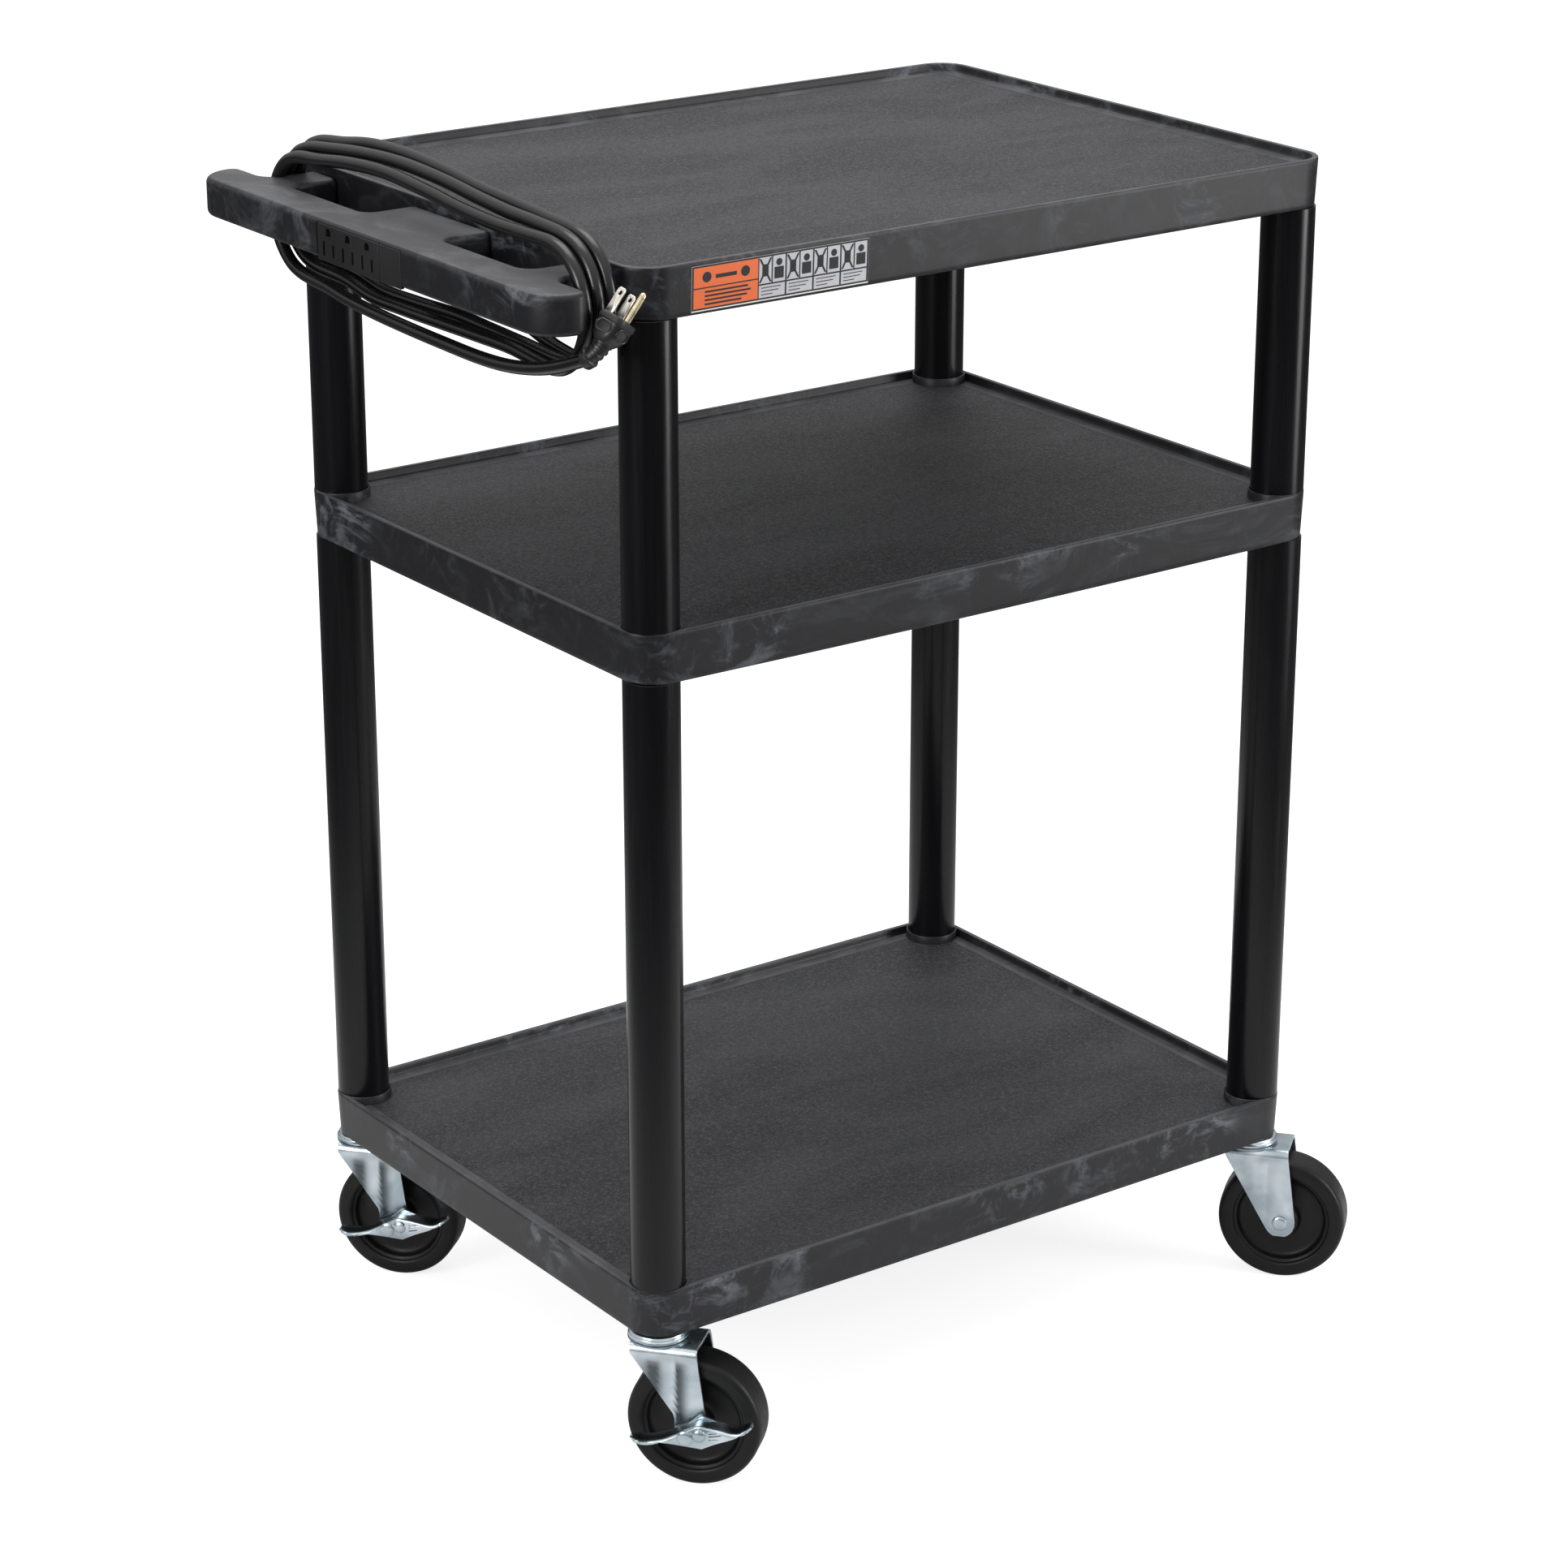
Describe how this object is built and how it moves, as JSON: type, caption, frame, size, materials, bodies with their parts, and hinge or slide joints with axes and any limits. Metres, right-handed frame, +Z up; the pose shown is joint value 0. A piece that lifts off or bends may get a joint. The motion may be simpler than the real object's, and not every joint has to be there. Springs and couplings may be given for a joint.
{
  "type": "rolling utility cart with power outlets",
  "caption": "Moulded utility cart: tray shelves on push-fit tube legs, push handle with built-in outlets and a wound power cord, on swivel casters, some braked.",
  "frame": {"origin": "on the floor under the middle of the cart's footprint, measured without the power cord", "axes": "+Z up; +X away from the push handle, along the long side of the shelves; -Y is the long side that carries the product label; millimetres in the source, metres in the row"},
  "size_m": [0.7233, 0.5208, 0.937],
  "materials": {
    "shelf_plastic": "charcoal structural foam with a fine pebble and faint flow swirls",
    "leg_plastic": "satin black extruded tube",
    "outlet_plastic": "smooth black",
    "label_stock": "printed film with an orange block",
    "contact_brass": "stamped strip",
    "cord_jacket": "satin black flexible jacket",
    "blade_nickel": "nickel plated",
    "caster_zinc": "bright zinc plate",
    "bearing_steel": "plain steel",
    "wheel_plastic": "black moulded wheel and tread"
  },
  "bodies": {
    "cart_frame": {"top_shelf": "shelf_plastic", "middle_shelf": "shelf_plastic", "bottom_shelf": "shelf_plastic", "push_handle": "shelf_plastic", "lower_leg_front_left": "leg_plastic", "lower_leg_front_right": "leg_plastic", "lower_leg_back_left": "leg_plastic", "lower_leg_back_right": "leg_plastic", "upper_leg_front_left": "leg_plastic", "upper_leg_front_right": "leg_plastic", "upper_leg_back_left": "leg_plastic", "upper_leg_back_right": "leg_plastic", "outlet_faceplate": "outlet_plastic", "outlet_body": "outlet_plastic", "contact_bar_ground": "contact_brass", "contact_bar_line": "contact_brass", "contact_bar_neutral": "contact_brass", "cord_gland": "cord_jacket", "cord_lead": "cord_jacket", "cord_winding": "cord_jacket", "cord_tail": "cord_jacket", "plug_body": "cord_jacket", "plug_blade_line": "blade_nickel", "plug_blade_neutral": "blade_nickel", "plug_ground_pin": "blade_nickel", "product_label": "label_stock", "caster_stem_front_left": "caster_zinc", "swivel_cup_front_left": "caster_zinc", "caster_stem_front_right": "caster_zinc", "swivel_cup_front_right": "caster_zinc", "caster_stem_back_left": "caster_zinc", "swivel_cup_back_left": "caster_zinc", "caster_stem_back_right": "caster_zinc", "swivel_cup_back_right": "caster_zinc"},
    "caster_front_left": {"swivel_balls_front_left": "bearing_steel", "caster_fork_front_left": "caster_zinc", "axle_bolt_front_left": "caster_zinc", "axle_nut_front_left": "caster_zinc", "wheel_bushing_front_left": "bearing_steel"},
    "wheel_front_left": {"caster_wheel_front_left": "wheel_plastic"},
    "brake_front_left": {"brake_lever_front_left": "caster_zinc"},
    "caster_front_right": {"swivel_balls_front_right": "bearing_steel", "caster_fork_front_right": "caster_zinc", "axle_bolt_front_right": "caster_zinc", "axle_nut_front_right": "caster_zinc", "wheel_bushing_front_right": "bearing_steel"},
    "wheel_front_right": {"caster_wheel_front_right": "wheel_plastic"},
    "caster_back_left": {"swivel_balls_back_left": "bearing_steel", "caster_fork_back_left": "caster_zinc", "axle_bolt_back_left": "caster_zinc", "axle_nut_back_left": "caster_zinc", "wheel_bushing_back_left": "bearing_steel"},
    "wheel_back_left": {"caster_wheel_back_left": "wheel_plastic"},
    "brake_back_left": {"brake_lever_back_left": "caster_zinc"},
    "caster_back_right": {"swivel_balls_back_right": "bearing_steel", "caster_fork_back_right": "caster_zinc", "axle_bolt_back_right": "caster_zinc", "axle_nut_back_right": "caster_zinc", "wheel_bushing_back_right": "bearing_steel"},
    "wheel_back_right": {"caster_wheel_back_right": "wheel_plastic"}
  },
  "joints": [
    {"name": "swivel_front_left", "type": "hinge", "parent": "cart_frame", "child": "caster_front_left", "pos_m": [-0.2648, -0.1766, 0.1085], "axis": [0, 0, 1], "continuous": true},
    {"name": "wheel_spin_front_left", "type": "hinge", "parent": "caster_front_left", "child": "wheel_front_left", "pos_m": [-0.24616, -0.19881, 0.05], "axis": [0.766, 0.6428, 0], "continuous": true},
    {"name": "brake_rock_front_left", "type": "hinge", "parent": "caster_front_left", "child": "brake_front_left", "pos_m": [-0.24616, -0.19881, 0.05], "axis": [0.766, 0.6428, 0], "range_deg": [-14, 14]},
    {"name": "swivel_front_right", "type": "hinge", "parent": "cart_frame", "child": "caster_front_right", "pos_m": [0.3008, -0.1766, 0.1085], "axis": [0, 0, 1], "continuous": true},
    {"name": "wheel_spin_front_right", "type": "hinge", "parent": "caster_front_right", "child": "wheel_front_right", "pos_m": [0.31944, -0.19881, 0.05], "axis": [0.766, 0.6428, 0], "continuous": true},
    {"name": "swivel_back_left", "type": "hinge", "parent": "cart_frame", "child": "caster_back_left", "pos_m": [-0.2648, 0.2366, 0.1085], "axis": [0, 0, 1], "continuous": true},
    {"name": "wheel_spin_back_left", "type": "hinge", "parent": "caster_back_left", "child": "wheel_back_left", "pos_m": [-0.24616, 0.21438, 0.05], "axis": [0.766, 0.6428, 0], "continuous": true},
    {"name": "brake_rock_back_left", "type": "hinge", "parent": "caster_back_left", "child": "brake_back_left", "pos_m": [-0.24616, 0.21438, 0.05], "axis": [0.766, 0.6428, 0], "range_deg": [-14, 14]},
    {"name": "swivel_back_right", "type": "hinge", "parent": "cart_frame", "child": "caster_back_right", "pos_m": [0.3008, 0.2366, 0.1085], "axis": [0, 0, 1], "continuous": true},
    {"name": "wheel_spin_back_right", "type": "hinge", "parent": "caster_back_right", "child": "wheel_back_right", "pos_m": [0.31944, 0.21438, 0.05], "axis": [0.766, 0.6428, 0], "continuous": true}
  ]
}
